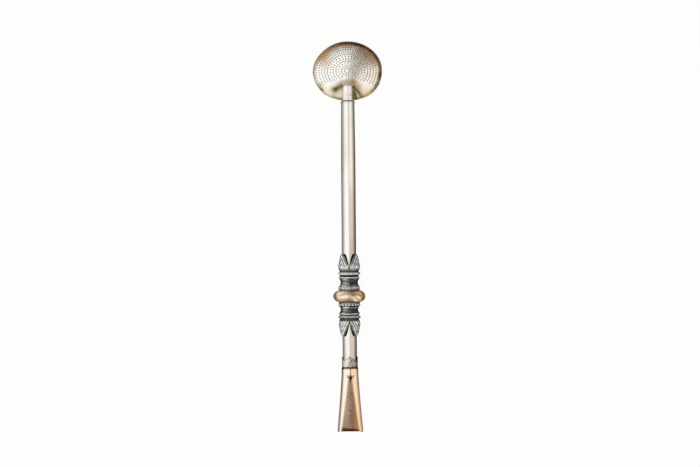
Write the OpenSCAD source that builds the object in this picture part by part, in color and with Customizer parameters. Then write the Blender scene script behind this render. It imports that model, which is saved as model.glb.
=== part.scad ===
// Bombilla: a silver drinking straw with a flat strainer, a leaf ornament and a gold mouthpiece.
// It lies on a table: the stem runs along Y with the strainer at +Y, and its front faces up.

/* [Stem] */
// Stem between the mouthpiece seam and the strainer seam
stem_len = 132.95; // [124:0.05:145]
// Outside diameter of the tube under the ornament and on to the mouthpiece
tube_d = 7.2; // [7.1:0.05:7.5]
// Outside diameter of the tube at the strainer end
tube_end_d = 6.7; // [6.6:0.05:7]
// Bore right through the tube
tube_bore_d = 5.4; // [4.8:0.1:5.6]
// How far the lip at the strainer end stands out
lip_out = 0.18; // [0.1:0.02:0.4]
// Height of that lip
lip_h = 1; // [0.6:0.1:2]
// Straight tube between the leaf tips and the start of the taper
taper_gap = 48; // [0:1:60]

/* [Strainer] */
// Width of the strainer across its rim
strainer_w = 35.1; // [33:0.1:38]
// Length of the strainer across its rim, along the stem
strainer_l = 30; // [28:0.1:32]
// Height of each dome above the rim plane
dome_h = 3; // [2.8:0.05:3.2]
// Sheet thickness of the domes
dome_wall = 0.45; // [0.35:0.05:0.55]
// Diameter of one hole of the perforation
hole_d = 0.45; // [0.4:0.05:0.7]
// Distance between the rings of holes
hole_pitch = 1.15; // [1.05:0.05:1.8]
// Holes in each of the outer rings
hole_spokes = 64; // [32:8:72]
// Closest that holes of one ring may lie before every second one is left out
hole_near = 0.8; // [0.75:0.05:1.5]
// Plain border between the holes and the edge of the dome
hole_border = 1.4; // [1.2:0.1:3]
// Height of the plain zone above the spigot, below the middle of the dome
plain_drop = 2.75; // [0:0.25:5]
// How far that zone falls away for each millimetre to the side
plain_slope = 0.31; // [0.2:0.01:0.6]
// Width of the rim band outside the domes
rim_out = 0.45; // [0.3:0.05:0.7]
// Thickness of the rim band
rim_h = 0.7; // [0.5:0.05:1]
// Tube wall left round the spigot
socket_wall = 0.4; // [0.35:0.05:0.45]
// Bore of the spigot
spigot_bore_d = 4.6; // [4.2:0.1:4.7]
// Depth of the spigot in the tube
spigot_depth = 8; // [5:0.5:14]
// How far the spigot reaches into the strainer
spigot_reach = 8.5; // [7:0.1:8.8]

/* [Ornament] */
// Middle of the gold ring, measured from the mouth end
ring_pos = 67.8; // [66.5:0.1:72]
// Outside diameter of the gold ring
ring_d = 16.4; // [15:0.1:18]
// Height of the gold ring along the stem
ring_h = 6.1; // [5:0.1:7]
// Diameter of the flat on each face of the gold ring
ring_flat_d = 9.2; // [8.8:0.1:10]
// Sheet thickness of the gold ring
ring_wall = 0.45; // [0.3:0.05:0.6]
// Diameter of the two seat washers beside the gold ring
seat_d = 10.7; // [10:0.1:11.5]
// Thickness of a seat washer
seat_h = 0.25; // [0.2:0.05:0.6]
// Crest diameter of the large beaded rings
big_bead_crest_d = 11.2; // [10.6:0.1:11.8]
// Diameter of one large bead
big_bead_d = 1.36; // [1:0.02:1.42]
// Beads round a large ring
big_bead_count = 20; // [14:1:20]
// Band height of the large beaded rings
big_band_h = 1.5; // [1.46:0.02:2]
// How far the beads' middles lie below the surface of their bands
bead_sink = 0.08; // [0.04:0.01:0.2]
// Crest diameter of the small beaded rings
small_bead_crest_d = 11.3; // [10.7:0.1:11.8]
// Diameter of one small bead
small_bead_d = 1.06; // [0.8:0.02:1.08]
// Beads round a small ring
small_bead_count = 28; // [18:1:28]
// Band height of the small beaded rings
small_band_h = 1.2; // [1.16:0.02:1.6]
// Diameter of the groove beside the small beaded rings
groove_d = 9.4; // [9:0.1:9.7]
// Height of that groove on the strainer side
strainer_groove_h = 1; // [0.4:0.05:1.5]
// Height of that groove on the mouth side
mouth_groove_h = 0.55; // [0.4:0.05:1.5]
// Thickness of the plain wire rings
wire_d = 0.9; // [0.7:0.05:1.2]
// Crest diameter of the plain wire rings
wire_crest_d = 10.4; // [10:0.1:11]
// Height of the waist on the strainer side
strainer_waist_h = 3.9; // [3:0.1:5]
// Height of the waist on the mouth side
mouth_waist_h = 3.35; // [3:0.05:5]
// Diameter at the ends of a waist
waist_end_d = 10.2; // [9.8:0.1:10.8]
// Diameter at the middle of a waist
waist_mid_d = 8.7; // [8.3:0.1:9.2]

/* [Leaves] */
// Largest diameter of the leaf collars
leaf_d = 11.1; // [10.8:0.1:11.8]
// Diameter of a leaf collar at the foot of the leaves
leaf_foot_d = 10.3; // [9.8:0.1:10.7]
// Diameter of a leaf collar where the leaf tips start to round off
leaf_end_d = 10; // [9.4:0.1:10.6]
// Diameter of a leaf collar at the very tips
leaf_tip_d = 8.6; // [8.2:0.1:9.2]
// Diameter of the neck below the leaves
leaf_neck_d = 9.6; // [9:0.1:10.2]
// Height of the neck
leaf_neck_h = 1.1; // [0.6:0.1:2]
// Length of the leaves on the strainer side
strainer_leaf_len = 8.2; // [7:0.1:10]
// Length of the leaves on the mouth side
mouth_leaf_len = 7.9; // [7:0.1:10]
// Depth of the notches between the leaves
notch_len = 6.1; // [4:0.1:6.5]
// Width of a notch between the leaf tips
notch_w = 5.7; // [4.6:0.1:5.9]

/* [Mouthpiece] */
// Length of the mouthpiece
mouth_len = 32.05; // [30:0.05:36]
// Outside diameter of its round end
mouth_round_d = 8.3; // [8.2:0.05:8.8]
// Length of the round end
round_len = 2; // [1.5:0.1:3]
// Width of the flat end between the lips
mouth_w = 13; // [12:0.1:14]
// Thickness of the flat end
mouth_t = 4; // [3.6:0.1:4.6]
// Sheet thickness
mouth_wall = 0.4; // [0.3:0.02:0.44]
// How late the thickness falls away from the round end: 1 is a straight taper
flatten_power = 1; // [0.95:0.05:1.3]
// How late the width grows from the round end: 1 is a straight flare
flare_power = 1.2; // [1:0.05:1.4]
// Rounding of the lip
lip_round = 0.35; // [0.2:0.05:0.4]
// Diameter of the tube's drawn-in end that plugs into the mouthpiece
plug_d = 6.1; // [6:0.05:6.2]
// How far that end goes into the mouthpiece
plug_depth = 5; // [4:0.1:5.6]
// Wall of the sleeve that grips the tube
sleeve_wall = 0.3; // [0.25:0.01:0.36]
// How far the sleeve reaches past the end of the tube
sleeve_past = 0.4; // [0.2:0.1:0.5]
// Gap between the sleeve's collar and the start of the flat part
collar_gap = 0.3; // [0.2:0.1:0.6]
// Outside diameter of the ferrule on the tube
ferrule_d = 7.9; // [7.8:0.05:8.2]
// Length of the ferrule to the ends of its points
ferrule_len = 5.6; // [4.5:0.1:7]
// Depth of the notches between those points
point_len = 2.2; // [1.5:0.1:3]
// Width of those notches
point_gap = 5.2; // [4.4:0.1:5.6]

/* [Fits] */
// Radial clearance of the push fits of strainer and mouthpiece
push_clear = 0.03; // [0.01:0.01:0.05]
// Radial clearance of the turning gold ring on the tube
ring_clear = 0.05; // [0.02:0.01:0.1]
// Gap between faces of pieces that move apart or turn
face_gap = 0.15; // [0.1:0.01:0.25]
// Solder gap round the tube and round the spigot
solder_gap = 0.02; // [0.01:0.01:0.03]

/* [Hidden] */
fine = 180;
ring_points = 48;
taper_steps = 7;
// Overshoot of a cut, and the step that keeps two faces from lying in one plane
over = 1;
step = 0.02;
// Shares of a leaf's length: where it is widest, and how much of it rounds off at the tip
leaf_peak = 0.28;
tip_share = 0.14;
// How a leaf's edge leaves the notch straight and curls back at the tip
notch_bow = [0.92, 0.08, 6];
// Rings and spokes of holes move by these shares of a pitch, so that front and back holes don't line up
front_shift = [0, 0.5];
back_shift = [0.5, 0];
seam_z = mouth_len + face_gap;
tube_top = seam_z + stem_len;
strainer_foot = tube_top + face_gap;
strainer_mid = strainer_foot + strainer_l/2;
total_len = strainer_foot + strainer_l;
tube_r = tube_d/2;
bore_r = tube_bore_d/2;
seat_r = tube_r + solder_gap;
socket_r = tube_end_d/2 - socket_wall;
spigot_r = socket_r - push_clear;
dome_w = strainer_w/2 - rim_out;
dome_l = strainer_l/2 - rim_out;
len_arc = arc_r(dome_l, dome_h);
wid_arc = arc_r(dome_w, dome_h);
hole_rings = floor((dome_l - hole_border)/hole_pitch);
flare = (waist_end_d - waist_mid_d)/2;
stack_h = ring_h/2 + face_gap + seat_h + big_band_h;
strainer_leaf_z = ring_pos + stack_h + strainer_waist_h + wire_d + strainer_groove_h + small_band_h;
strainer_tips = strainer_leaf_z + leaf_neck_h + strainer_leaf_len;
round_z = mouth_len - round_len;

function arc_r(half, h) = (half*half + h*h)/(2*h);
function leaf_foot(s) = (leaf_d - leaf_foot_d)/2*pow(max(1 - s/leaf_peak, 0), 2);
function leaf_taper(s) = (leaf_d - leaf_end_d)/2*max(s - leaf_peak, 0)/(1 - leaf_peak);
function round_off(s) = 1 - sqrt(1 - pow(max(s - 1 + tip_share, 0)/tip_share, 2));
function tip_round(s) = (leaf_end_d - leaf_tip_d)/2*round_off(s);
function leaf_r(s) = leaf_d/2 - leaf_foot(s) - leaf_taper(s) - tip_round(s);
function notch_x(u) = notch_bow[0]*u + notch_bow[1]*pow(u, notch_bow[2]);
function ring_holes(r, n) = 2*PI*r/n >= hole_near || n < 8 ? n : ring_holes(r, n/2);

// Lays the upright pieces down: the stem's axis goes along Y and the front faces up
module lay() {
  translate([0, -total_len/2, ring_d/2])
    rotate([-90, 0, 0])
      children();
}

// Sets a piece of the ornament at a height above or below the gold ring
module strainer_side(h) {
  translate([0, 0, ring_pos + h])
    children();
}

module mouth_side(h) {
  translate([0, 0, ring_pos - h])
    mirror([0, 0, 1])
      children();
}

// Solid of revolution that ends in the front dome, with its surface moved in by the inset
module lens(inset) {
  translate([0, len_arc - dome_h, strainer_mid])
    rotate([0, 90, 0])
      rotate_extrude($fn = 3*fine)
        intersection() {
          translate([len_arc - wid_arc, 0])
            circle(r = wid_arc - inset, $fn = 4*fine);
          translate([0, -strainer_w/2])
            square([len_arc + over, strainer_w]);
        }
}

// Front half of the solid between the domes
module front_half() {
  intersection() {
    lens(0);
    translate([-strainer_w, -2*dome_h, strainer_foot - over])
      cube([2*strainer_w, 2*dome_h, strainer_l + 2*over]);
  }
}

module spigot_way() {
  translate([0, 0, tube_top - spigot_depth])
    cylinder(r = spigot_r + solder_gap, h = spigot_depth + face_gap + spigot_reach, $fn = fine);
}

// Rings of holes in line with the middle; the zone round the spigot stays plain
module perforation(shift) {
  for (k = [1 : hole_rings]) {
    share = (k - shift[0])/hole_rings;
    a = share*(dome_w - hole_border);
    b = share*(dome_l - hole_border);
    n = ring_holes(b, hole_spokes);
    for (i = [0 : n - 1]) {
      x = a*cos(360*(i + shift[1])/n);
      z = b*sin(360*(i + shift[1])/n);
      if (z > -plain_drop - plain_slope*abs(x))
        translate([x, 0, strainer_mid + z])
          rotate([90, 0, 0])
            cylinder(d = hole_d, h = 2*dome_h, $fn = 24);
    }
  }
}

module shell(shift) {
  difference() {
    front_half();
    lens(dome_wall);
    spigot_way();
    perforation(shift);
  }
}

module strainer_front_shell() {
  color("#d9d2c0")
    lay()
      shell(front_shift);
}

module strainer_back_shell() {
  color("#cfc8b6")
    lay()
      mirror([0, 1, 0])
        shell(back_shift);
}

// Oval outline of the strainer with a width and a length
module oval(w, l) {
  scale([w/l, 1])
    circle(d = l, $fn = 2*fine);
}

// Band round the edges of both domes, with a crease where each dome rises inside it
module strainer_rim() {
  color("#c9c3b4")
    lay()
      difference() {
        translate([0, 0, strainer_mid])
          rotate([90, 0, 0])
            linear_extrude(rim_h, center = true)
              difference() {
                oval(strainer_w, strainer_l);
                oval(2*(dome_w + solder_gap), 2*(dome_l + solder_gap));
              }
        spigot_way();
      }
}

// Short tube that plugs into the stem; its free part shows as a tongue on both domes
module strainer_spigot() {
  color("#e4e2dc")
    lay()
      translate([0, 0, tube_top - spigot_depth])
        difference() {
          cylinder(r = spigot_r, h = spigot_depth + face_gap + spigot_reach - solder_gap, $fn = fine);
          translate([0, 0, -over])
            cylinder(d = spigot_bore_d, h = spigot_depth + face_gap + spigot_reach + 2*over, $fn = fine);
        }
}

module stem_tube() {
  low = seam_z - plug_depth;
  top_r = tube_end_d/2;
  color("#e2dfd8")
    lay()
      difference() {
        rotate_extrude($fn = fine)
          polygon([[bore_r, low], [plug_d/2, low], [plug_d/2, seam_z], [tube_r, seam_z],
            [tube_r, strainer_tips + taper_gap], [top_r, tube_top - lip_h],
            [top_r + lip_out, tube_top - lip_h + lip_out/2], [top_r + lip_out, tube_top - lip_out/2],
            [top_r, tube_top], [bore_r, tube_top]]);
        translate([0, 0, tube_top - spigot_depth - face_gap])
          cylinder(r = socket_r, h = spigot_depth + face_gap + over, $fn = fine);
      }
}

// Two crossed cutters that leave four pointed leaves; the cut starts at z = 0 and is open above
module notches(len, w, reach) {
  steps = 10;
  for (turn = [0, 90])
    rotate([90, 0, turn])
      linear_extrude(2*reach, center = true)
        polygon(concat(
          [for (i = [0 : steps]) [w/2*notch_x(i/steps), len*i/steps]],
          [[w/2, len + over], [-w/2, len + over]],
          [for (i = [steps : -1 : 1]) [-w/2*notch_x(i/steps), len*i/steps]]));
}

module leaf_collar(len) {
  steps = 18;
  shares = [for (i = [0 : steps]) sin(90*i/steps)];
  top = leaf_neck_h + len;
  difference() {
    rotate_extrude($fn = fine)
      polygon(concat(
        [[seat_r, 0], [leaf_neck_d/2, 0], [leaf_neck_d/2, leaf_neck_h]],
        [for (s = shares) [leaf_r(s), leaf_neck_h + len*s]],
        [[seat_r, top]]));
    translate([0, 0, top - notch_len])
      notches(notch_len, notch_w, leaf_d);
  }
}

// Ring of beads on a plain band, with an optional groove below it
module bead_ring(crest_d, bead_d, count, band_h, groove_h) {
  bead_r = crest_d/2 - bead_d/2;
  band_r = bead_r + bead_sink;
  groove = groove_h > 0 ? [[groove_d/2, 0], [groove_d/2, groove_h]] : [];
  union() {
    rotate_extrude($fn = fine)
      polygon(concat([[seat_r, 0]], groove,
        [[band_r, groove_h], [band_r, groove_h + band_h], [seat_r, groove_h + band_h]]));
    for (i = [0 : count - 1])
      rotate([0, 0, 360*i/count])
        translate([bead_r, 0, groove_h + band_h/2])
          rotate([0, 90, 0])
            sphere(d = bead_d, $fn = 32);
  }
}

module waist(h) {
  rotate_extrude($fn = fine)
    difference() {
      translate([seat_r, 0])
        square([waist_end_d/2 - seat_r, h]);
      translate([waist_mid_d/2 + arc_r(h/2, flare), h/2])
        circle(r = arc_r(h/2, flare), $fn = fine);
    }
}

// Round wire on a web that reaches in to the tube
module wire_ring() {
  wire_r = wire_crest_d/2 - wire_d/2;
  rotate_extrude($fn = fine)
    union() {
      translate([wire_r, wire_d/2])
        circle(d = wire_d, $fn = 48);
      translate([seat_r, step])
        square([wire_r - seat_r, wire_d - 2*step]);
    }
}

module seat_washer() {
  difference() {
    cylinder(d = seat_d, h = seat_h, $fn = fine);
    translate([0, 0, -over])
      cylinder(r = seat_r, h = seat_h + 2*over, $fn = fine);
  }
}

// Profile of half the gold ring, moved in by the inset
module ring_profile(inset) {
  wide = (ring_d - ring_flat_d)/2 - inset;
  high = ring_h/2 - inset;
  intersection() {
    union() {
      translate([ring_flat_d/2, 0])
        scale([wide/high, 1])
          circle(r = high, $fn = fine);
      square([ring_flat_d/2, high]);
    }
    square([ring_d, ring_h]);
  }
}

module ring_half() {
  difference() {
    rotate_extrude($fn = fine)
      difference() {
        ring_profile(0);
        ring_profile(ring_wall);
      }
    cylinder(r = tube_r + ring_clear, h = ring_h, $fn = fine);
  }
}

module strainer_side_seat() {
  color("#d8d5cb")
    lay()
      strainer_side(ring_h/2 + face_gap)
        seat_washer();
}

module strainer_side_large_beads() {
  color("#b9b5a6")
    lay()
      strainer_side(stack_h - big_band_h)
        bead_ring(big_bead_crest_d, big_bead_d, big_bead_count, big_band_h, 0);
}

module strainer_side_waist() {
  color("#d8d5cb")
    lay()
      strainer_side(stack_h)
        waist(strainer_waist_h);
}

module strainer_side_wire_ring() {
  color("#dedbd2")
    lay()
      strainer_side(stack_h + strainer_waist_h)
        wire_ring();
}

module strainer_side_small_beads() {
  color("#b9b5a6")
    lay()
      strainer_side(stack_h + strainer_waist_h + wire_d)
        bead_ring(small_bead_crest_d, small_bead_d, small_bead_count, small_band_h, strainer_groove_h);
}

module strainer_side_leaf_collar() {
  color("#c4c1b3")
    lay()
      translate([0, 0, strainer_leaf_z])
        leaf_collar(strainer_leaf_len);
}

module gold_ring_strainer_half() {
  color("#c9a06a")
    lay()
      strainer_side(0)
        ring_half();
}

module gold_ring_mouth_half() {
  color("#bf9560")
    lay()
      mouth_side(0)
        ring_half();
}

module mouth_side_seat() {
  color("#d8d5cb")
    lay()
      mouth_side(ring_h/2 + face_gap)
        seat_washer();
}

module mouth_side_large_beads() {
  color("#b9b5a6")
    lay()
      mouth_side(stack_h - big_band_h)
        bead_ring(big_bead_crest_d, big_bead_d, big_bead_count, big_band_h, 0);
}

module mouth_side_waist() {
  color("#d8d5cb")
    lay()
      mouth_side(stack_h)
        waist(mouth_waist_h);
}

module mouth_side_wire_ring() {
  color("#dedbd2")
    lay()
      mouth_side(stack_h + mouth_waist_h)
        wire_ring();
}

module mouth_side_small_beads() {
  color("#b9b5a6")
    lay()
      mouth_side(stack_h + mouth_waist_h + wire_d)
        bead_ring(small_bead_crest_d, small_bead_d, small_bead_count, small_band_h, mouth_groove_h);
}

module mouth_side_leaf_collar() {
  color("#c4c1b3")
    lay()
      mouth_side(stack_h + mouth_waist_h + wire_d + mouth_groove_h + small_band_h)
        leaf_collar(mouth_leaf_len);
}

// Sleeve with four points that the mouthpiece stops against
module ferrule() {
  color("#dcd8ce")
    lay()
      translate([0, 0, seam_z])
        difference() {
          rotate_extrude($fn = fine)
            translate([seat_r, 0])
              square([ferrule_d/2 - seat_r, ferrule_len]);
          translate([0, 0, ferrule_len - point_len])
            rotate([0, 0, 45])
              notches(point_len, point_gap, ferrule_d);
        }
}

// One ring of the mouthpiece: round above, drawn out to two round ends with a straight between them
function flat_share(z) = min(max((round_z - z)/round_z, 0), 1);
function end_r(z) = mouth_round_d/2 - (mouth_round_d - mouth_t)/2*pow(flat_share(z), flatten_power);
function half_w(z) = mouth_round_d/2 + (mouth_w - mouth_round_d)/2*pow(flat_share(z), flare_power);
function straight(z) = half_w(z) - end_r(z);
function mouth_ring(z, inset) = [for (i = [0 : ring_points - 1])
  let (a = 360*(i + 0.5)/ring_points, side = cos(a) > 0 ? 1 : -1)
  [side*straight(z) + (end_r(z) - inset)*cos(a), (end_r(z) - inset)*sin(a), z]];

// Solid through rings of points, from the lowest ring to the highest
module loft(rings) {
  n = ring_points;
  last = len(rings) - 1;
  polyhedron(
    points = [for (ring = rings) for (p = ring) p],
    faces = concat(
      [[for (i = [0 : n - 1]) i]],
      [for (j = [0 : last - 1]) for (i = [0 : n - 1])
        [j*n + i, (j + 1)*n + i, (j + 1)*n + (i + 1) % n, j*n + (i + 1) % n]],
      [[for (i = [n - 1 : -1 : 0]) last*n + i]]));
}

module mouthpiece_shell() {
  bore_z = round_z + step;
  heights = [for (j = [0 : taper_steps]) lip_round + (round_z - lip_round)*j/taper_steps];
  color("#b98f63")
    lay()
      difference() {
        loft(concat([mouth_ring(0, lip_round)], [for (z = heights) mouth_ring(z, 0)],
          [[for (p = mouth_ring(round_z, 0)) [p[0], p[1], mouth_len]]]));
        loft(concat([[for (p = mouth_ring(0, mouth_wall)) [p[0], p[1], -over]]],
          [for (z = heights) mouth_ring(z, mouth_wall + step)],
          [[for (p = mouth_ring(round_z, mouth_wall + step)) [p[0], p[1], bore_z + 2*step]]]));
        translate([0, 0, bore_z])
          cylinder(r = mouth_round_d/2 - mouth_wall, h = round_len + over, $fn = fine);
      }
}

// Sleeve that grips the tube, seated in the round end by its collar
module mouthpiece_socket() {
  hole_r = plug_d/2 + push_clear;
  low = seam_z - plug_depth - sleeve_past;
  collar_r = mouth_round_d/2 - mouth_wall - solder_gap;
  color("#d2b48a")
    lay()
      rotate_extrude($fn = fine)
        polygon([[hole_r, low], [hole_r + sleeve_wall, low], [hole_r + sleeve_wall, round_z + collar_gap],
          [collar_r, round_z + collar_gap], [collar_r, mouth_len], [hole_r, mouth_len]]);
}

strainer_front_shell();
strainer_back_shell();
strainer_rim();
strainer_spigot();
stem_tube();
strainer_side_leaf_collar();
strainer_side_small_beads();
strainer_side_wire_ring();
strainer_side_waist();
strainer_side_large_beads();
strainer_side_seat();
gold_ring_strainer_half();
gold_ring_mouth_half();
mouth_side_seat();
mouth_side_large_beads();
mouth_side_waist();
mouth_side_wire_ring();
mouth_side_small_beads();
mouth_side_leaf_collar();
ferrule();
mouthpiece_socket();
mouthpiece_shell();
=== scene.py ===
import math

import bmesh
import bpy
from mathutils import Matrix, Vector, geometry, noise


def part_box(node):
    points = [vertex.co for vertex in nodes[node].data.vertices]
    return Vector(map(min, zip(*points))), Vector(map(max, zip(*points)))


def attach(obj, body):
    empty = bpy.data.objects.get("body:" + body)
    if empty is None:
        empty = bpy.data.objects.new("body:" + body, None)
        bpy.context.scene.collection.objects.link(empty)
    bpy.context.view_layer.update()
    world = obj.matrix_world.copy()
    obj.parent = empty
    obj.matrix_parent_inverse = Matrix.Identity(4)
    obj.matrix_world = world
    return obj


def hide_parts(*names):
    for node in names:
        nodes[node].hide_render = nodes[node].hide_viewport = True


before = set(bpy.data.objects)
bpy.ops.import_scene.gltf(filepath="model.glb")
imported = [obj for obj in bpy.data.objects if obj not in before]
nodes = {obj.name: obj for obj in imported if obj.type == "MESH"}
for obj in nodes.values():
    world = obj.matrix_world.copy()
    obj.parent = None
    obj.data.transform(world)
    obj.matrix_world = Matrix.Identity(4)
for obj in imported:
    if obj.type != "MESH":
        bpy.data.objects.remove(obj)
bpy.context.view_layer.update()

mm = 0.001


def span(node):                               # ends along the stem and outer radius, in mm
    low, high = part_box(node)
    return low.y / mm, high.y / mm, high.x / mm


tubeLow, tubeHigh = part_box("stem_tube")
axisHeight = (tubeLow.z + tubeHigh.z) / 2 / mm
tubeEnd = tubeHigh.y / mm
ringMiddle = span("gold_ring_mouth_half")[1]
print("frame loaded, stem axis at", round(axisHeight, 2), "mm")


# plain helpers
def clamp(value):
    return max(0.0, min(1.0, value))


def ease(value, low, high):                   # smooth step from 0 at low to 1 at high
    t = clamp((value - low) / (high - low))
    return t * t * (3 - 2 * t)


def hump(value, middle, width):               # bell curve, 1 at the middle
    return math.exp(-((value - middle) / width) ** 2)


def grainAt(point, size, seed=0.0):           # smooth noise from -1 to 1
    return noise.noise(Vector(point) / size + Vector((seed, seed * 1.7, -seed)))


def halfGrain(point, size, seed=0.0):         # the same noise from 0 to 1
    return 0.5 + 0.5 * grainAt(point, size, seed)


def turnBetween(degrees, place):              # from -180 to 180
    return (degrees - place + 180) % 360 - 180


def fromStroke(x, y, start, end):             # distance to a straight stroke
    ax, ay = start
    bx, by = end
    squared = (bx - ax) ** 2 + (by - ay) ** 2
    t = clamp(((x - ax) * (bx - ax) + (y - ay) * (by - ay)) / squared)
    return math.hypot(x - ax - t * (bx - ax), y - ay - t * (by - ay))


def tone(red, green, blue):                   # colour as it looks on a screen, 0 to 255
    linear = []
    for part in (red, green, blue):
        part = part / 255
        linear.append(part / 12.92 if part <= 0.04045 else ((part + 0.055) / 1.055) ** 2.4)
    return (*linear, 1.0)


def aroundStem(radius, along, angle):         # angle 0 is the front, which faces up
    return (radius * math.sin(angle), along, axisHeight + radius * math.cos(angle))


# shader sums
class Wire:
    def __init__(self, paint, socket):
        self.paint = paint
        self.socket = socket

    def join(self, operation, first, second):
        return self.paint.add("ShaderNodeMath", {"operation": operation}, {0: first, 1: second})

    def __add__(self, other):
        return self.join("ADD", self, other)

    def __radd__(self, other):
        return self.join("ADD", other, self)

    def __sub__(self, other):
        return self.join("SUBTRACT", self, other)

    def __rsub__(self, other):
        return self.join("SUBTRACT", other, self)

    def __mul__(self, other):
        return self.join("MULTIPLY", self, other)

    def __rmul__(self, other):
        return self.join("MULTIPLY", other, self)

    def __truediv__(self, other):
        return self.join("DIVIDE", self, other)

    def __rtruediv__(self, other):
        return self.join("DIVIDE", other, self)

    def __pow__(self, other):
        return self.join("POWER", self, other)

    def __abs__(self):
        return self.join("ABSOLUTE", self, 0.0)


class Paint:
    def __init__(self, owner):
        owner.use_nodes = True
        self.owner = owner
        self.tree = owner.node_tree
        self.tree.nodes.clear()

    def add(self, kind, settings=None, sockets=None, out=0):
        node = self.tree.nodes.new(kind)
        for name, value in (settings or {}).items():
            if name == "stops":
                self.setStops(node.color_ramp, value)
            else:
                setattr(node, name, value)
        for name, value in (sockets or {}).items():
            if isinstance(value, Wire):
                self.tree.links.new(value.socket, node.inputs[name])
            else:
                node.inputs[name].default_value = value
        return Wire(self, node.outputs[out]) if node.outputs else node

    def setStops(self, ramp, stops):
        while len(ramp.elements) < len(stops):
            ramp.elements.new(1.0)
        for element, (position, colour) in zip(ramp.elements, stops):
            element.position = position
            element.color = colour

    def place(self, stretch=(1, 1, 1)):       # millimetres in the part's own frame
        spot = self.add("ShaderNodeTexCoord", out="Object")
        scale = [1 / mm * part for part in stretch]
        return self.add("ShaderNodeVectorMath", {"operation": "MULTIPLY"}, {0: spot, 1: scale})

    def split(self, vector):
        return [self.add("ShaderNodeSeparateXYZ", None, {0: vector}, out) for out in range(3)]

    def along(self):                          # millimetres along the stem
        return self.split(self.place())[1]

    def fromAxis(self):                       # millimetres across, above the axis, and away from it
        x, z = self.split(self.place())[::2]
        rise = z - axisHeight
        return x, rise, (x * x + rise * rise) ** 0.5

    def step(self, value, low, high):
        return self.add("ShaderNodeMapRange", {"interpolation_type": "SMOOTHSTEP"},
                        {"Value": value, "From Min": low, "From Max": high})

    def noise(self, size, stretch=(1, 1, 1), detail=3.0):
        return self.add("ShaderNodeTexNoise", None,
                        {"Vector": self.place(stretch), "Scale": 1 / size, "Detail": detail,
                         "Roughness": 0.55}, "Fac")

    def spots(self, size, stretch):           # distance to scattered points, 0 at each point
        return self.add("ShaderNodeTexVoronoi", None,
                        {"Vector": self.place(stretch), "Scale": 1 / size}, "Distance")

    def mark(self, name):                     # a value that the mesh carries
        return self.add("ShaderNodeAttribute", {"attribute_name": name}, None, "Fac")

    def mix(self, share, first, second):
        return self.add("ShaderNodeMix", {"data_type": "RGBA"}, {0: share, 6: first, 7: second}, 2)

    def ramp(self, value, stops):
        return self.add("ShaderNodeValToRGB", {"stops": stops}, {"Fac": value})

    def metal(self, colour, roughness, metallic, edge, height):
        bump = self.add("ShaderNodeBump", None, {"Distance": mm, "Height": height})
        shader = self.add("ShaderNodeBsdfPrincipled", None,
                          {"Base Color": colour, "Roughness": roughness, "Metallic": metallic,
                           "Specular Tint": edge, "Normal": bump})
        self.add("ShaderNodeOutputMaterial", None, {"Surface": shader})
        return self.owner


def newPaint(name):
    return Paint(bpy.data.materials.new(name))


# mesh makers
def buildPiece(name, body, replaced, points, faces, materials, marks, sharp, slots=None):
    mesh = bpy.data.meshes.new(name)
    mesh.from_pydata([[part * mm for part in point] for point in points], [], faces)
    shell = bmesh.new()
    shell.from_mesh(mesh)
    bmesh.ops.recalc_face_normals(shell, faces=shell.faces)     # every shell faces outwards
    shell.to_mesh(mesh)
    shell.free()
    for material in materials:
        mesh.materials.append(material)
    if slots is not None:
        mesh.polygons.foreach_set("material_index", slots)
    for mark, values in marks.items():
        mesh.attributes.new(mark, "FLOAT", "POINT").data.foreach_set("value", values)
    mesh.polygons.foreach_set("use_smooth", [True] * len(faces))
    mesh.set_sharp_from_angle(angle=math.radians(sharp))
    mesh.validate()
    piece = bpy.data.objects.new(name, mesh)
    bpy.context.scene.collection.objects.link(piece)
    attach(piece, body)
    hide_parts(*replaced)


def ringFaces(rows, columns, closed=True):    # skin through rings of points, last to first if closed
    faces = []
    for row in range(rows if closed else rows - 1):
        here = row * columns
        there = (row + 1) % rows * columns
        for column in range(columns):
            beside = (column + 1) % columns
            faces.append((here + column, there + column, there + beside, here + beside))
    return faces


def lathe(profile, columns, dent):            # profile is a closed loop of radius and place
    points = []
    for radius, along in profile:
        for column in range(columns):
            angle = 2 * math.pi * column / columns
            points.append(aroundStem(radius + dent(angle, along, radius), along, angle))
    return points, ringFaces(len(profile), columns)


def dress(names, material):                   # a CAD node keeps its shape and gets a finish
    for name in names:
        mesh = nodes[name].data
        mesh.materials.clear()
        mesh.materials.append(material)


# finishes: sizes and places in mm, ranges from none to full
stemLook = {"silver": tone(249, 246, 241), "film": tone(222, 212, 198), "rose": tone(212, 197, 189),
            "leftFlankShadeGrey": tone(112, 114, 112), "rightFlankShadeBrown": tone(78, 58, 42), "spot": tone(96, 84, 70),
            "edge": tone(136, 130, 122),
            "cloudSize": 9.0, "drawnSize": 0.35, "pitSize": 2.6, "patchSize": 7.0,
            "roseReflectionAlong": (37.0, 20.0), "shadeAlong": (4.0, -8.0), "shadeStop": (-40.0, -30.0),
            "endShadowBand": (0.5, 0.15), "filmShare": 0.55, "shadeShare": 0.2, "rightShadeShare": 0.9,
            "leftShadeShare": 0.8, "endShadowShare": 0.85, "pitShare": 0.8}


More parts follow.
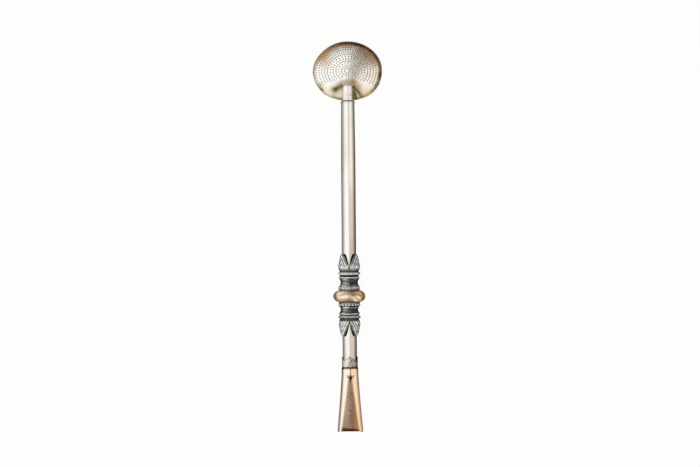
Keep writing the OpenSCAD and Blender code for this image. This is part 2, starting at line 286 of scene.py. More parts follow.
def stemSilver():
    look = stemLook
    paint = newPaint("stemSilver")
    x, rise, radius = paint.fromAxis()
    y = paint.along()
    side = x / radius                         # -1 on the left flank, 1 on the right
    front = paint.step(rise / radius, 0.0, 0.35)
    cloud = paint.noise(look["cloudSize"], (1, 0.35, 1))
    drawn = paint.noise(look["drawnSize"], (1, 0.02, 1), 4.0)
    film = paint.step(cloud, 0.42, 0.75) * look["filmShare"]
    colour = paint.mix(film, look["silver"], look["film"])
    # painted reflection: a rose tint on the right half of the upper side, fading out towards the strainer end
    roseReflection = paint.step(side, -0.02, 0.25) * front * paint.step(y + cloud * 10, *look["roseReflectionAlong"])
    colour = paint.mix(roseReflection * (0.45 + cloud * 0.8), colour, look["rose"])
    shade = paint.step(side, -0.05, 0.3) * front * paint.step(y, *look["shadeAlong"])
    shade = shade * paint.step(y, *look["shadeStop"])           # above the leaves
    colour = paint.mix(shade * look["shadeShare"], colour, look["rightFlankShadeBrown"])
    # painted shade: the flanks of the upper side are darkened, grey on the left and brown on the right, like
    # dark reflections at the edges
    right = paint.step(side + cloud * 0.1, 0.5, 0.95) * front
    left = paint.step(cloud * 0.1 - side, 0.45, 0.9) * front
    colour = paint.mix(right * look["rightShadeShare"], colour, look["rightFlankShadeBrown"])
    colour = paint.mix(left * look["leftShadeShare"], colour, look["leftFlankShadeGrey"])
    # painted shadow: a dark band at the tube's end, where the tongue goes in
    endShadowBand = paint.step(y, *[tubeEnd - place for place in look["endShadowBand"]])
    colour = paint.mix(endShadowBand * look["endShadowShare"], colour, look["spot"])
    pits = paint.step(paint.spots(look["pitSize"], (1, 0.6, 1)), 0.13, 0.05)
    pits = pits * paint.step(paint.noise(look["patchSize"]), 0.5, 0.62)
    colour = paint.mix(pits * look["pitShare"], colour, look["spot"])
    roughness = 0.1 + drawn * 0.1 + pits * 0.3
    return paint.metal(colour, roughness, 1.0, look["edge"], drawn * 0.004 - pits * 0.02)


strainerLook = {"silver": tone(250, 249, 247), "olive": tone(226, 214, 176), "rose": tone(216, 186, 162),
                "stainAndShade": tone(170, 156, 112), "rimStainAndShade": tone(162, 136, 108), "grime": tone(58, 46, 22),
                "warm": tone(230, 178, 100), "brown": tone(184, 156, 124), "edge": tone(140, 132, 122),
                "cloudSize": 6.5, "wispSize": 2.2, "gritSize": 0.5,
                "halfWide": 17.3, "halfLong": 15.0, "topReflectionReach": (0.76, 1.06), "topReflectionAbove": (0.0, 9.0),
                "rimStainAndShadeAbove": (-8.0, 3.0), "grimeAndShadeFrom": (0.5, 1.15),
                "oliveShare": 0.5, "roseShare": 0.4, "filmShare": 0.95, "markShare": 1.2}


def strainerSilver():
    look = strainerLook
    paint = newPaint("strainerSilver")
    cloud = paint.noise(look["cloudSize"])
    wisp = paint.noise(look["wispSize"], detail=5.0)
    grit = paint.noise(look["gritSize"], detail=2.0)
    x, y = paint.split(paint.place())[:2]
    above = y - (span("strainer_rim")[1] - look["halfLong"])    # from the dome's middle
    across = x / look["halfWide"]
    along = above / look["halfLong"]
    reach = (across * across + along * along) ** 0.5
    olive = paint.step(cloud, 0.5, 0.75) * look["oliveShare"]
    colour = paint.mix(olive, look["silver"], look["olive"])
    colour = paint.mix(paint.step(wisp, 0.55, 0.75) * look["roseShare"], colour, look["rose"])
    # painted reflection: brown near the edge of the dome's upper half
    film = paint.step(reach + wisp * 0.3, *look["topReflectionReach"]) * paint.step(above, *look["topReflectionAbove"])
    colour = paint.mix(film * look["filmShare"], colour, look["brown"])
    # painted reflection: warm patches and a yellow lower end, from the warm mark
    colour = paint.mix(paint.mark("warm") * (0.5 + wisp), colour, look["warm"])
    # grime in the dimples, and painted shade in the creases and along the dark strokes: a brown tone,
    # near-black where it is strongest
    grime = paint.mark("grime") * (0.55 + wisp)
    stainAndShade = paint.mix(paint.step(above, *look["rimStainAndShadeAbove"]), look["stainAndShade"], look["rimStainAndShade"])
    colour = paint.mix(grime * look["markShare"], colour, stainAndShade)
    colour = paint.mix(paint.step(grime, *look["grimeAndShadeFrom"]), colour, look["grime"])
    roughness = 0.13 + wisp * 0.1 + grime * 0.2
    return paint.metal(colour, roughness, 1.0, look["edge"], grit * 0.012 + wisp * 0.02)


# dark insides: tarnish and painted shade in the strainer, painted shadow inside the mouthpiece
innerLook = {"tarnishAndShade": tone(86, 74, 60), "dark": tone(34, 28, 22), "edge": (1, 1, 1, 1), "cloudSize": 1.4}


def innerTarnishAndShade(name, light, dark):
    paint = newPaint(name)
    cloud = paint.noise(innerLook["cloudSize"], detail=4.0)
    colour = paint.mix(paint.step(cloud, 0.3, 0.7), dark, light)
    return paint.metal(colour, 0.45 + cloud * 0.2, 0.8, innerLook["edge"], cloud * 0.01)


ornamentLook = {"black": tone(52, 51, 50), "dark": tone(100, 100, 100), "grey": tone(180, 181, 182),
                "bright": tone(246, 247, 249), "edge": tone(126, 124, 121),
                "stops": {"black": 0.05, "dark": 0.35, "grey": 0.7, "bright": 1.0},
                "cloudSize": 1.6, "gritSize": 0.3, "mottle": 0.7, "flankShade": 0.3, "rightShade": 0.1,
                "dullRough": 0.55, "brightRough": 0.24}


def oxidised(paint, worn):                    # black in the hollows, bright where it is worn
    look = ornamentLook
    x, rise, radius = paint.fromAxis()
    cloud = paint.noise(look["cloudSize"], detail=4.0)
    grit = paint.noise(look["gritSize"], detail=2.0)
    shade = paint.step(abs(x / radius), 0.7, 1.0) * look["flankShade"]
    shade = shade + paint.step(x, 0.3, 3.0) * look["rightShade"]
    worn = worn + (cloud - 0.5) * look["mottle"] - shade * paint.step(rise, 0.0, 1.5)
    colour = paint.ramp(worn, [(place, look[name]) for name, place in look["stops"].items()])
    roughness = paint.add("ShaderNodeMapRange", None,
                          {"Value": worn, "To Min": look["dullRough"], "To Max": look["brightRough"]})
    return paint.metal(colour, roughness, 1.0, look["edge"], grit * 0.015 + cloud * 0.03)


def chasedSilver():                           # worn where the mesh says so, with the painted shade and painted highlights it also carries
    paint = newPaint("chasedSilver")
    return oxidised(paint, paint.mark("polish"))


def ringSilver(name, darkRadius, brightRadius, node=None, tarnishAndShade=0.0):
    paint = newPaint(name)
    worn = paint.step(paint.fromAxis()[2], darkRadius, brightRadius)
    if node:                                  # painted shade lies on the mouth side of a ring
        low, high = span(node)[:2]
        worn = worn - paint.step(paint.along(), low * 0.4 + high * 0.6, low) * tarnishAndShade
    return oxidised(paint, worn)


goldLook = {"peach": tone(251, 220, 188), "highlightCream": tone(255, 242, 226), "film": tone(204, 168, 132),
            "brown": tone(156, 120, 88), "olive": tone(98, 84, 60), "grime": tone(62, 40, 20),
            "panel": tone(196, 168, 145), "panelDark": tone(128, 97, 77), "glow": tone(204, 142, 96),
            "inside": tone(88, 58, 34), "edge": tone(160, 126, 94),
            "ringWispSize": 0.9, "ringCloudSize": 2.4, "cloudSize": 4.0, "streakSize": 0.85, "gritSize": 0.25,
            "peachAcross": (-1.0, 3.0), "darkAlong": (-86.0, -95.0), "glowAcross": (0.4, 3.6),
            "glowAlong": (-76.0, -87.0),
            "brownShare": 0.5, "darkShare": 0.4, "glowShare": 0.8, "panelShare": 0.95}


def ringGold():
    look = goldLook
    paint = newPaint("ringGold")
    wisp = paint.noise(look["ringWispSize"], detail=4.0)
    cloud = paint.noise(look["ringCloudSize"])
    # painted highlights in cream where the highlight mark says so
    colour = paint.mix(paint.mark("rub") * (0.8 + wisp * 0.4), look["film"], look["highlightCream"])
    colour = paint.mix(paint.step(wisp, 0.5, 0.72) * look["brownShare"], colour, look["brown"])
    # painted shade in olive at the ring's sides, underside and beside the seats
    colour = paint.mix(paint.mark("grime") * (0.7 + wisp * 0.6), colour, look["olive"])
    return paint.metal(colour, 0.18 + wisp * 0.14, 1.0, look["edge"], wisp * 0.02 + cloud * 0.05)


def mouthGold():
    look = goldLook
    paint = newPaint("mouthGold")
    x, y = paint.split(paint.place())[:2]
    cloud = paint.noise(look["cloudSize"], (1, 0.4, 1))
    streak = paint.noise(look["streakSize"], (1, 0.7, 1), 5.0)
    grit = paint.noise(look["gritSize"], (1, 0.7, 1), 2.0)
    # painted highlight: creamier on the left, peach on the right
    colour = paint.mix(paint.step(x + cloud * 2, *look["peachAcross"]), look["highlightCream"], look["peach"])
    # painted reflection: the flat panel's brown, with its own streaks; painted shade makes it darker to the
    # right
    film = paint.mix(paint.step(streak + x * 0.09, 0.3, 0.7), look["panel"], look["panelDark"])
    # darker towards the lips
    film = paint.mix(paint.step(y, *look["darkAlong"]) * look["darkShare"], film, look["panelDark"])
    # painted reflection: a warm glow on the right, towards the lips
    glow = paint.step(x, *look["glowAcross"]) * paint.step(y + cloud * 6, *look["glowAlong"])
    film = paint.mix(glow * look["glowShare"], film, look["glow"])
    panel = paint.mark("panel")
    colour = paint.mix(panel * look["panelShare"], colour, film)
    colour = paint.mix(paint.mark("grime"), colour, look["grime"])
    roughness = 0.18 + panel * 0.16 + streak * 0.1
    return paint.metal(colour, roughness, 1.0, look["edge"], grit * 0.008 + streak * 0.012)


strainerFinish = strainerSilver()
stemFinish = stemSilver()
ringFinish = ringGold()
mouthFinish = mouthGold()
strainerInside = innerTarnishAndShade("strainerInside", innerLook["tarnishAndShade"], innerLook["dark"])
mouthInsideShadow = innerTarnishAndShade("mouthInsideShadow", goldLook["inside"], goldLook["grime"])
chasedFinish = chasedSilver()
print("finishes made")


# strainer: x across and v along, from the middle of the dome
domeShape = {"length": 30.0, "rim": 0.45, "wall": 0.45, "hole": 0.225, "dimple": 0.38, "sink": 0.07,
             "holeSides": 12, "dimpleSides": 8, "clear": 0.12, "border": 1.4, "rings": 11, "spokes": 64,
             "nearest": 0.8, "halveFrom": 8, "plainDrop": 2.75, "plainSlope": 0.31,
             "grid": 0.55, "gridRow": 0.87, "gridReach": 0.985, "outline": 240, "tongueSteps": 40,
             "halvings": 40, "edgeLip": 0.05, "holeGrime": 0.2, "footReflection": 0.18, "footFrom": (6.0, 13.0),
             "frontShift": (0.0, 0.5), "backShift": (0.5, 0.0),
             "bulges": [(138, -0.45, 24), (-45, 0.42, 25), (-131, 0.2, 14)],
             "creases": [(0.8, 1.05), (0.95, 0.95), (1.05, 1.2), (0.55, 0.9), (0.62, 0.7), (0.42, 0.6),
                         (0.4, 0.5), (0.68, 1.0), (0.8, 1.05)]}
# strokes of painted light, dark ones for painted shade and warm ones for painted reflection: start, end, half
# width, strength
domeLightStrokes = {"dark": [((-3.2, -7.6), (-6.4, -9.3), 2.1, 0.84), ((3.1, -7.9), (3.7, -12.8), 1.3, 1.0),
                       ((4.2, -9.0), (6.2, -11.6), 1.3, 0.8), ((4.2, 2.5), (2.6, -3.2), 2.2, 0.26),
                       ((-2.0, -5.6), (0.8, -5.3), 0.8, 0.3), ((-13.9, -6.8), (-12.6, -9.0), 1.0, 0.4),
                       ((5.0, 8.8), (8.8, 6.4), 2.2, 0.3), ((-6.6, -12.7), (-3.8, -13.6), 0.9, 0.4),
                       ((15.2, -1.8), (13.8, -6.6), 2.0, 0.2)],
              "warm": [((2.8, -5.3), (3.2, -6.1), 1.2, 0.9), ((4.0, -7.0), (6.4, -8.6), 1.4, 0.5),
                       ((-2.2, -5.6), (0.0, -5.2), 0.8, 0.35), ((-13.6, -6.4), (-11.2, -9.0), 1.3, 0.35),
                       ((6.5, -9.0), (11.5, -9.6), 2.4, 0.3), ((-7.0, -12.6), (-6.0, -12.9), 0.8, 0.5),
                       ((-12.0, 9.0), (-11.2, 4.4), 2.6, 0.52), ((10.8, 7.0), (13.5, 4.0), 2.2, 0.42)]}
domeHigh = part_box("strainer_front_shell")[1]
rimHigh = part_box("strainer_rim")[1]
domeMiddle = rimHigh.y / mm - domeShape["length"] / 2
domeWide = domeHigh.x / mm
domeLong = domeShape["length"] / 2 - domeShape["rim"]
domeRise = domeHigh.z / mm - axisHeight
lengthArc = (domeLong ** 2 + domeRise ** 2) / (2 * domeRise)
widthArc = (domeWide ** 2 + domeRise ** 2) / (2 * domeRise)
spigotLow, spigotHigh, spigotRadius = span("strainer_spigot")
tongueEnd = spigotHigh - domeMiddle


def domeLean(x):                              # radius of the lengthwise arc at x
    return lengthArc - widthArc + math.sqrt(widthArc ** 2 - x ** 2)


def domeHeight(x, v):
    return math.sqrt(max(domeLean(x) ** 2 - v ** 2, 0.0)) - (lengthArc - domeRise)


def domeEdge(x):
    return math.sqrt(max(domeLean(x) ** 2 - (lengthArc - domeRise) ** 2, 0.0))


def inTongue(x, v):                           # where the spigot comes through the dome
    if abs(x) >= spigotRadius or v > tongueEnd:
        return False
    return domeHeight(x, v) < math.sqrt(spigotRadius ** 2 - x ** 2)


def holeCentres(ringShift, spokeShift):       # shifts keep front and back holes out of line
    centres = []
    for ring in range(1, domeShape["rings"] + 1):
        share = (ring - ringShift) / domeShape["rings"]
        wide = share * (domeWide - domeShape["border"])
        long = share * (domeLong - domeShape["border"])
        count = domeShape["spokes"]
        while 2 * math.pi * long / count < domeShape["nearest"] and count >= domeShape["halveFrom"]:
            count //= 2
        for i in range(count):
            angle = 2 * math.pi * (i + spokeShift) / count
            x, v = wide * math.cos(angle), long * math.sin(angle)
            if v > -domeShape["plainDrop"] - domeShape["plainSlope"] * abs(x):
                centres.append((x, v))
    return centres


def tongueOutline():                          # left foot, blunt end, right foot
    steps = domeShape["tongueSteps"]
    right = []
    for i in range(steps + 1):
        x = i / steps * spigotRadius
        target = math.sqrt(spigotRadius ** 2 - x ** 2)
        low, high = -domeEdge(x), tongueEnd
        if domeHeight(x, high) < target:
            right.append((x, high))
            continue
        for halving in range(domeShape["halvings"]):
            middle = (low + high) / 2
            if domeHeight(x, middle) < target:
                low = middle
            else:
                high = middle
        right.append((x, low))
    return [(-x, v) for x, v in reversed(right[1:])] + right


def handShape(x, v):                          # the beaten outline: degrees, mm outwards, width in degrees
    wide, long = x / domeWide, v / domeLong
    turn = math.degrees(math.atan2(long, wide))
    push = sum(out * hump(turnBetween(turn, place), 0, width) for place, out, width in domeShape["bulges"])
    scale = 1 + push / domeLong * (wide * wide + long * long)
    return x * scale, v * scale


def markShare(kind, x, v):
    return max(strength * hump(fromStroke(x, v, start, end), 0, size)
               for start, end, size, strength in domeLightStrokes[kind])


def domeGrimeAndShade(x, v, nearHole):                # painted shade in the creases by the rim, from a strength and width at every 45 degrees, painted shade along the dark strokes, and grime in the dimples
    wide, long = x / domeWide, v / domeLong
    fromEdge = (1 - math.hypot(wide, long)) * domeLong
    turn = math.degrees(math.atan2(long, wide)) % 360 / 45
    before, after = domeShape["creases"][int(turn)], domeShape["creases"][int(turn) + 1]
    strength, width = [a + (b - a) * (turn % 1) for a, b in zip(before, after)]
    crease = strength * (1 - ease(fromEdge, 0.5 * width, 2.0 * width))
    return clamp(crease + markShare("dark", x, v) + domeShape["holeGrime"] * nearHole)


def loopEdges(first, count):
    return [(first + i, first + (i + 1) % count) for i in range(count)]


def gridSpots(centres):                       # an even grid, clear of the holes and the tongue
    step = domeShape["grid"]
    cells = {}
    for x, v in centres:
        cells.setdefault((int(x // 1), int(v // 1)), []).append((x, v))

    def clearOfHoles(x, v):
        for i in range(int(x // 1) - 1, int(x // 1) + 2):
            for j in range(int(v // 1) - 1, int(v // 1) + 2):
                for a, b in cells.get((i, j), ()):
                    if math.hypot(a - x, b - v) < domeShape["dimple"] + domeShape["clear"]:
                        return False
        return True

    spots = []
    rows = int(2 * domeLong / step)
    for row in range(-rows, rows + 1):
        for column in range(-rows, rows + 1):
            x = (column + 0.5 * (row % 2)) * step
            v = row * step * domeShape["gridRow"]
            if abs(x) < domeWide and math.hypot(x / domeWide, v / domeLong) < domeShape["gridReach"]:
                if clearOfHoles(x, v) and not inTongue(x, v):
                    spots.append((x, v))
    return spots


def domeLayout(shift):                        # flat points, the hole that each rims, dents and edges
    spots, rims, dents, edges = [], [], [], []

    def addRing(centre, radius, count, hole, dent, turn):
        for i in range(count):
            angle = 2 * math.pi * (i + turn) / count
            spots.append((centre[0] + radius * math.cos(angle), centre[1] + radius * math.sin(angle)))
            rims.append(hole)
            dents.append(dent)

    hole, dimple = domeShape["hole"], domeShape["dimple"]
    centres = holeCentres(*shift)
    for number, centre in enumerate(centres):
        edges += loopEdges(len(spots), domeShape["holeSides"])
        addRing(centre, hole, domeShape["holeSides"], number, 1.0, 0.0)
        addRing(centre, (hole + dimple) / 2, domeShape["dimpleSides"], -1, 0.3, 0.5)
        addRing(centre, dimple, domeShape["dimpleSides"], -1, 0.0, 0.0)
    edges += loopEdges(len(spots), domeShape["outline"])
    for i in range(domeShape["outline"]):
        angle = 2 * math.pi * (i + 0.5) / domeShape["outline"]
        x = domeWide * math.cos(angle)
        spots.append((x, math.copysign(domeEdge(x), math.sin(angle))))
    tongue = tongueOutline()
    edges += [(len(spots) + i, len(spots) + i + 1) for i in range(len(tongue) - 1)]
    spots += tongue
    spots += gridSpots(centres)
    rims += [-1] * (len(spots) - len(rims))
    dents += [0.0] * (len(spots) - len(dents))
    return spots, rims, dents, edges


def strainerDome(name, node, facing, shift):
    spots, rims, dents, edges = domeLayout(shift)
    cut = geometry.delaunay_2d_cdt([Vector(spot) for spot in spots], edges, [], 0, 1e-5)
    flat, triangles = cut[0], cut[2]
    source = [ids[0] if ids else 0 for ids in cut[3]]
    kept = []
    for triangle in triangles:
        holes = {rims[source[corner]] for corner in triangle}
        if len(holes) == 1 and -1 not in holes:
            continue
        middle = sum((flat[corner] for corner in triangle), Vector((0, 0))) / 3
        if not inTongue(middle.x, middle.y):
            kept.append(triangle)

    count = len(flat)
    points, grime, warm = [], [], []
    for layer in (0, 1):                      # outside, then inside
        for spot, origin in zip(flat, source):
            top = max(domeHeight(spot.x, spot.y), domeShape["edgeLip"])
            if layer == 0:
                height = top - domeShape["sink"] * dents[origin]
            else:
                height = max(top - domeShape["wall"], 0.0)
            x, v = handShape(spot.x, spot.y)
            points.append((x, domeMiddle + v, axisHeight + facing * height))
            grime.append(domeGrimeAndShade(spot.x, spot.y, dents[origin]))
            # painted reflection: warm strokes, and yellow towards the lower end
            foot = domeShape["footReflection"] * ease(-spot.y, *domeShape["footFrom"])
            warm.append(clamp(markShare("warm", spot.x, spot.y) + foot))
    faces, slots, uses = [], [], {}
    for triangle in kept:
        a, b, c = triangle if facing > 0 else tuple(reversed(triangle))
        faces.append((a, b, c))
        faces.append((c + count, b + count, a + count))
        slots += [0, 1]
        for start, end in ((a, b), (b, c), (c, a)):
            uses[(start, end)] = True
    for start, end in uses:                   # a wall wherever an edge has one face only
        if (end, start) not in uses:
            faces.append((end, start, start + count, end + count))
            slots.append(1)
    buildPiece(name, "strainer", [node], points, faces,
               [strainerFinish, strainerInside], {"grime": grime, "warm": warm}, sharp=40, slots=slots)


strainerDome("strainerFrontDome", "strainer_front_shell", 1, domeShape["frontShift"])
strainerDome("strainerBackDome", "strainer_back_shell", -1, domeShape["backShift"])
print("domes made")

rimShape = {"thick": 0.7, "steps": 300, "section": 12, "squareAcross": 0.7, "squareUp": 0.8,
            "wave": 0.05, "waveSize": 1.6, "stainSize": 2.0, "loop": 9, "innerShade": 0.5, "stainGrime": 0.2,
            "innerFrom": (0.1, 0.9), "stainFrom": (0.1, 0.6)}


def strainerRim():
    wide = rimHigh.x / mm
    long = domeShape["length"] / 2
    band = domeShape["rim"]
    gap = math.asin(spigotRadius / wide)
    steps, section, loop = rimShape["steps"], rimShape["section"], rimShape["loop"]
    points, grime = [], []
    for step in range(steps + 1):
        turn = gap + (2 * math.pi - 2 * gap) * step / steps
        x, v = -math.sin(turn), -math.cos(turn)
        for corner in range(section):
            angle = 2 * math.pi * corner / section
            across, up = math.cos(angle), math.sin(angle)
            out = math.copysign(abs(across) ** rimShape["squareAcross"], across) * band / 2 - band / 2
            lift = math.copysign(abs(up) ** rimShape["squareUp"], up) * rimShape["thick"] / 2
            out -= rimShape["wave"] * halfGrain((x * loop, v * loop, 0), rimShape["waveSize"])
            px, pv = handShape(x * (wide + out), v * (long + out))
            points.append((px, domeMiddle + pv, axisHeight + lift))
            # painted shade on the inner side of the band, where it meets the dome; the blots are stains
            blot = grainAt((x * loop, v * loop, 5), rimShape["stainSize"])
            grime.append(rimShape["innerShade"] * ease(-across, *rimShape["innerFrom"])
                         + rimShape["stainGrime"] * ease(blot, *rimShape["stainFrom"]))
    faces = ringFaces(steps + 1, section, closed=False)
    faces.append(tuple(reversed(range(section))))
    faces.append(tuple(steps * section + corner for corner in range(section)))
    buildPiece("strainerRimBand", "strainer", ["strainer_rim"], points, faces,
               [strainerFinish], {"grime": grime}, sharp=60)


strainerRim()

tongueShape = {"wall": 0.72, "round": 0.28, "roundSteps": 5, "columns": 160, "rows": 80, "pitDepth": 0.2,
               "pits": [(-0.35, 70.5, 0.22), (1.3, 70.75, 0.3)],
               "seamTop": (0.25, 0.8), "seamFoot": (-0.9, -0.2), "seamDark": (0.35, 0.6),
               "tipBand": (-1.6, -0.9), "tipDark": 0.5, "rightBand": (1.1, 2.2), "rightFlankShade": 0.35,
               "drawnSize": 0.4, "cloudSize": 2.5, "filmShare": 0.5, "grimeAndShadeShare": 0.9}


def tonguePit(x, along, front):
    if not front:
        return 0.0
    return max(hump(math.hypot(x - px, along - py), 0, size) for px, py, size in tongueShape["pits"])


def tongueGrimeAndShade(x, y, rise):                  # grime in the pits, painted shadow at the seam with the tube, darker towards the tip, painted shade on the right flank
    least, more = tongueShape["seamDark"]
    seam = least + more * ease(y - tubeEnd, *tongueShape["seamFoot"])
    seam *= 1 - ease(y - tubeEnd, *tongueShape["seamTop"])
    tip = tongueShape["tipDark"] * ease(y - spigotHigh, *tongueShape["tipBand"])
    right = tongueShape["rightFlankShade"] * ease(x, *tongueShape["rightBand"])
    return clamp(tonguePit(x, y, rise > 0) + seam + (tip + right) * ease(rise, 0.0, 1.0))


def tongueSilver():
    paint = newPaint("tongueSilver")
    drawn = paint.noise(tongueShape["drawnSize"], (1, 0.05, 1), 4.0)
    cloud = paint.noise(tongueShape["cloudSize"])
    film = paint.step(cloud, 0.45, 0.7) * tongueShape["filmShare"]
    colour = paint.mix(film, stemLook["silver"], stemLook["film"])
    colour = paint.mix(paint.mark("grime") * tongueShape["grimeAndShadeShare"], colour, strainerLook["grime"])
    return paint.metal(colour, 0.16 + drawn * 0.12, 1.0, stemLook["edge"], drawn * 0.006)


def strainerTongue():
    rounding, rows = tongueShape["round"], tongueShape["rows"]
    inner = spigotRadius - tongueShape["wall"]
    quarter = [math.pi / 2 * i / tongueShape["roundSteps"] for i in range(tongueShape["roundSteps"] + 1)]
    plain = spigotHigh - spigotLow - 2 * rounding
    profile = [(spigotRadius - rounding * (1 - math.sin(angle)),
                spigotLow + rounding * (1 - math.cos(angle))) for angle in quarter]
    profile += [(spigotRadius, spigotLow + rounding + plain * i / rows) for i in range(1, rows)]
    profile += [(spigotRadius - rounding * (1 - math.cos(angle)),
                 spigotHigh - rounding * (1 - math.sin(angle))) for angle in quarter]
    profile += [(inner, spigotHigh), (inner, spigotLow)]

    def dent(angle, along, radius):
        if radius <= inner:
            return 0.0
        return -tongueShape["pitDepth"] * tonguePit(radius * math.sin(angle), along, math.cos(angle) > 0)

    points, faces = lathe(profile, tongueShape["columns"], dent)
    grime = [tongueGrimeAndShade(x, y, z - axisHeight) for x, y, z in points]
    buildPiece("strainerTongue", "strainer", ["strainer_spigot"], points, faces,
               [tongueSilver()], {"grime": grime}, sharp=50)


strainerTongue()
dress(["stem_tube"], stemFinish)
print("strainer and stem made")


# ornament
leafShape = {"leaves": 4, "neck": 1.1, "neckRadius": 4.8, "neckSink": 0.2, "neckRound": (0.08, 0.12),
             "footRadius": 5.15, "endRadius": 5.0, "tipRadius": 4.3, "peak": 0.28, "tipShare": 0.14,
             "notchDepth": 6.1, "notchWidth": 5.7, "notchHook": 0.08, "notchOpens": 0.12, "gap": 0.02,
             "neckRing": 0.1, "bore": 3.62, "thinnest": 0.15, "rows": 90, "columns": 72,
             "veinPitch": 1.3, "veinSlant": 0.5, "vein": 0.12, "midrib": 0.04, "ribWidth": 0.2,
             "fleckScale": (6, 1.2, 9), "fleckLeast": 0.3, "fleckMore": 1.2, "tipFade": (0.9, 1.0),
             "border": (0.05, 1.1), "borderDrop": 0.3, "crease": (0.0, 0.6), "creaseDrop": 0.32,
             "worn": 0.46, "veinWorn": 0.6, "edgeWorn": 0.12, "neckWorn": 0.27, "footShade": 0.4,
             "mouthFoot": 0.05, "strainerFoot": 0.2, "gleam": 0.25, "gleamAt": 0.12, "gleamWidth": 0.12}


def leafRadius(share, widest):                # from foot to tip, before any carving
    peak, tip = leafShape["peak"], leafShape["tipShare"]
    foot = (widest - leafShape["footRadius"]) * max(1 - share / peak, 0) ** 2
    taper = (widest - leafShape["endRadius"]) * max(share - peak, 0) / (1 - peak)
    turn = max(share - 1 + tip, 0) / tip
    drop = (leafShape["endRadius"] - leafShape["tipRadius"]) * (1 - math.sqrt(max(1 - turn * turn, 0)))
    return widest - foot - taper - drop


def leafFaces(first):                         # a closed shell through an outer and an inner sheet
    rows, columns = leafShape["rows"], leafShape["columns"]
    faces = []

    def spot(layer, row, column):
        return first + (layer * (rows + 1) + row) * (columns + 1) + column

    for row in range(rows):
        for column in range(columns):
            faces.append((spot(0, row, column), spot(0, row, column + 1),
                          spot(0, row + 1, column + 1), spot(0, row + 1, column)))
            faces.append((spot(1, row, column), spot(1, row + 1, column),
                          spot(1, row + 1, column + 1), spot(1, row, column + 1)))
        for column, flip in ((0, False), (columns, True)):
            wall = (spot(0, row, column), spot(0, row + 1, column),
                    spot(1, row + 1, column), spot(1, row, column))
            faces.append(tuple(reversed(wall)) if flip else wall)
    for column in range(columns):
        for row, flip in ((0, False), (rows, True)):
            wall = (spot(0, row, column), spot(0, row, column + 1),
                    spot(1, row, column + 1), spot(1, row, column))
            faces.append(tuple(reversed(wall)) if flip else wall)
    return faces


def leafCollar(name, node, toward):           # toward is +1 where the tips point to the strainer
    low, high, widest = span(node)
    base = low if toward > 0 else high
    total = high - low
    neckLength, depth, bore = leafShape["neck"], leafShape["notchDepth"], leafShape["bore"]
    rows, columns = leafShape["rows"], leafShape["columns"]
    footReach = leafShape["strainerFoot"] if toward > 0 else leafShape["mouthFoot"]
    points, polish = [], []

    def addPoint(radius, along, angle, worn):
        points.append(aroundStem(radius, base + toward * along, angle))
        polish.append(worn)

    def carve(leaf, share, along, angle, radius, cut, fromEdge, fromRib):
        notched = ease(cut, 0.0, leafShape["notchOpens"])
        # painted shade along the notch edges, where the leaf's side wall is in shadow; the crease between
        # leaves is patina
        border = notched * (1 - ease(fromEdge, *leafShape["border"]))
        crease = (1 - notched) * (1 - ease(fromEdge, *leafShape["crease"]))
        drop = leafShape["borderDrop"] * border + leafShape["creaseDrop"] * crease
        phase = (fromRib + leafShape["veinSlant"] * along) / leafShape["veinPitch"]
        around, onward, apart = leafShape["fleckScale"]
        fleck = halfGrain((angle * around, along * onward, leaf * apart), 1.0, 2.0 + toward)
        wave = 0.5 + 0.5 * math.sin(2 * math.pi * phase)
        wave *= clamp(leafShape["fleckLeast"] + leafShape["fleckMore"] * fleck)
        dark = max(border, crease)
        fade = (1 - dark) * (1 - ease(share, *leafShape["tipFade"]))
        rib = leafShape["midrib"] * hump(fromRib, 0.0, leafShape["ribWidth"])
        lift = leafShape["vein"] * (wave - 1) + rib
        top = max(min(radius - drop + fade * lift, widest), bore + leafShape["thinnest"])
        worn = leafShape["worn"] + leafShape["veinWorn"] * wave
        # painted shade at the leaf's foot, and a painted highlight in a band near it
        worn *= 1 - leafShape["footShade"] * (1 - ease(share, 0.0, footReach))
        worn *= 1 + leafShape["gleam"] * hump(share, leafShape["gleamAt"], leafShape["gleamWidth"])
        addPoint(top, along, angle, worn + (leafShape["edgeWorn"] - worn) * dark)

    neck, neckEnd = leafShape["neckRadius"], neckLength + leafShape["neckSink"]
    roundIn, roundUp = leafShape["neckRound"]
    profile = [(bore, 0.0), (neck - roundIn, 0.0), (neck, roundUp),
               (neck, neckLength - leafShape["neckRing"]), (neck, neckEnd), (bore, neckEnd)]
    around = leafShape["leaves"] * columns
    for radius, along in profile:
        for column in range(around):
            addPoint(radius, along, 2 * math.pi * column / around, leafShape["neckWorn"])
    faces = ringFaces(len(profile), around)
    halfLeaf = math.pi / leafShape["leaves"]  # half of a leaf's share of the round
    for leaf in range(leafShape["leaves"]):
        middle = halfLeaf + 2 * halfLeaf * leaf
        faces += leafFaces(len(points))
        for layer in (0, 1):                  # outside, then inside
            for row in range(rows + 1):
                share = row / rows
                along = neckLength + (total - neckLength) * share
                radius = leafRadius(share, widest)
                cut = clamp((along - total + depth) / depth)
                hook = leafShape["notchHook"]
                notch = leafShape["notchWidth"] / 2 * ((1 - hook) * cut + hook * cut ** 6)
                half = halfLeaf - math.asin(max(notch, leafShape["gap"]) / radius)
                for column in range(columns + 1):
                    across = 2 * column / columns - 1
                    angle = middle + across * half
                    if layer == 1:
                        addPoint(bore, along, angle, 0.0)
                        continue
                    fromRib = abs(across) * half * radius
                    fromEdge = (1 - abs(across)) * half * radius
                    carve(leaf, share, along, angle, radius, cut, fromEdge, fromRib)
    buildPiece(name, "stem", [node], points, faces, [chasedFinish],
               {"polish": polish}, sharp=60)


leafCollar("leafCollarStrainerSide", "strainer_side_leaf_collar", 1)
leafCollar("leafCollarMouthSide", "mouth_side_leaf_collar", -1)
print("leaf collars made")

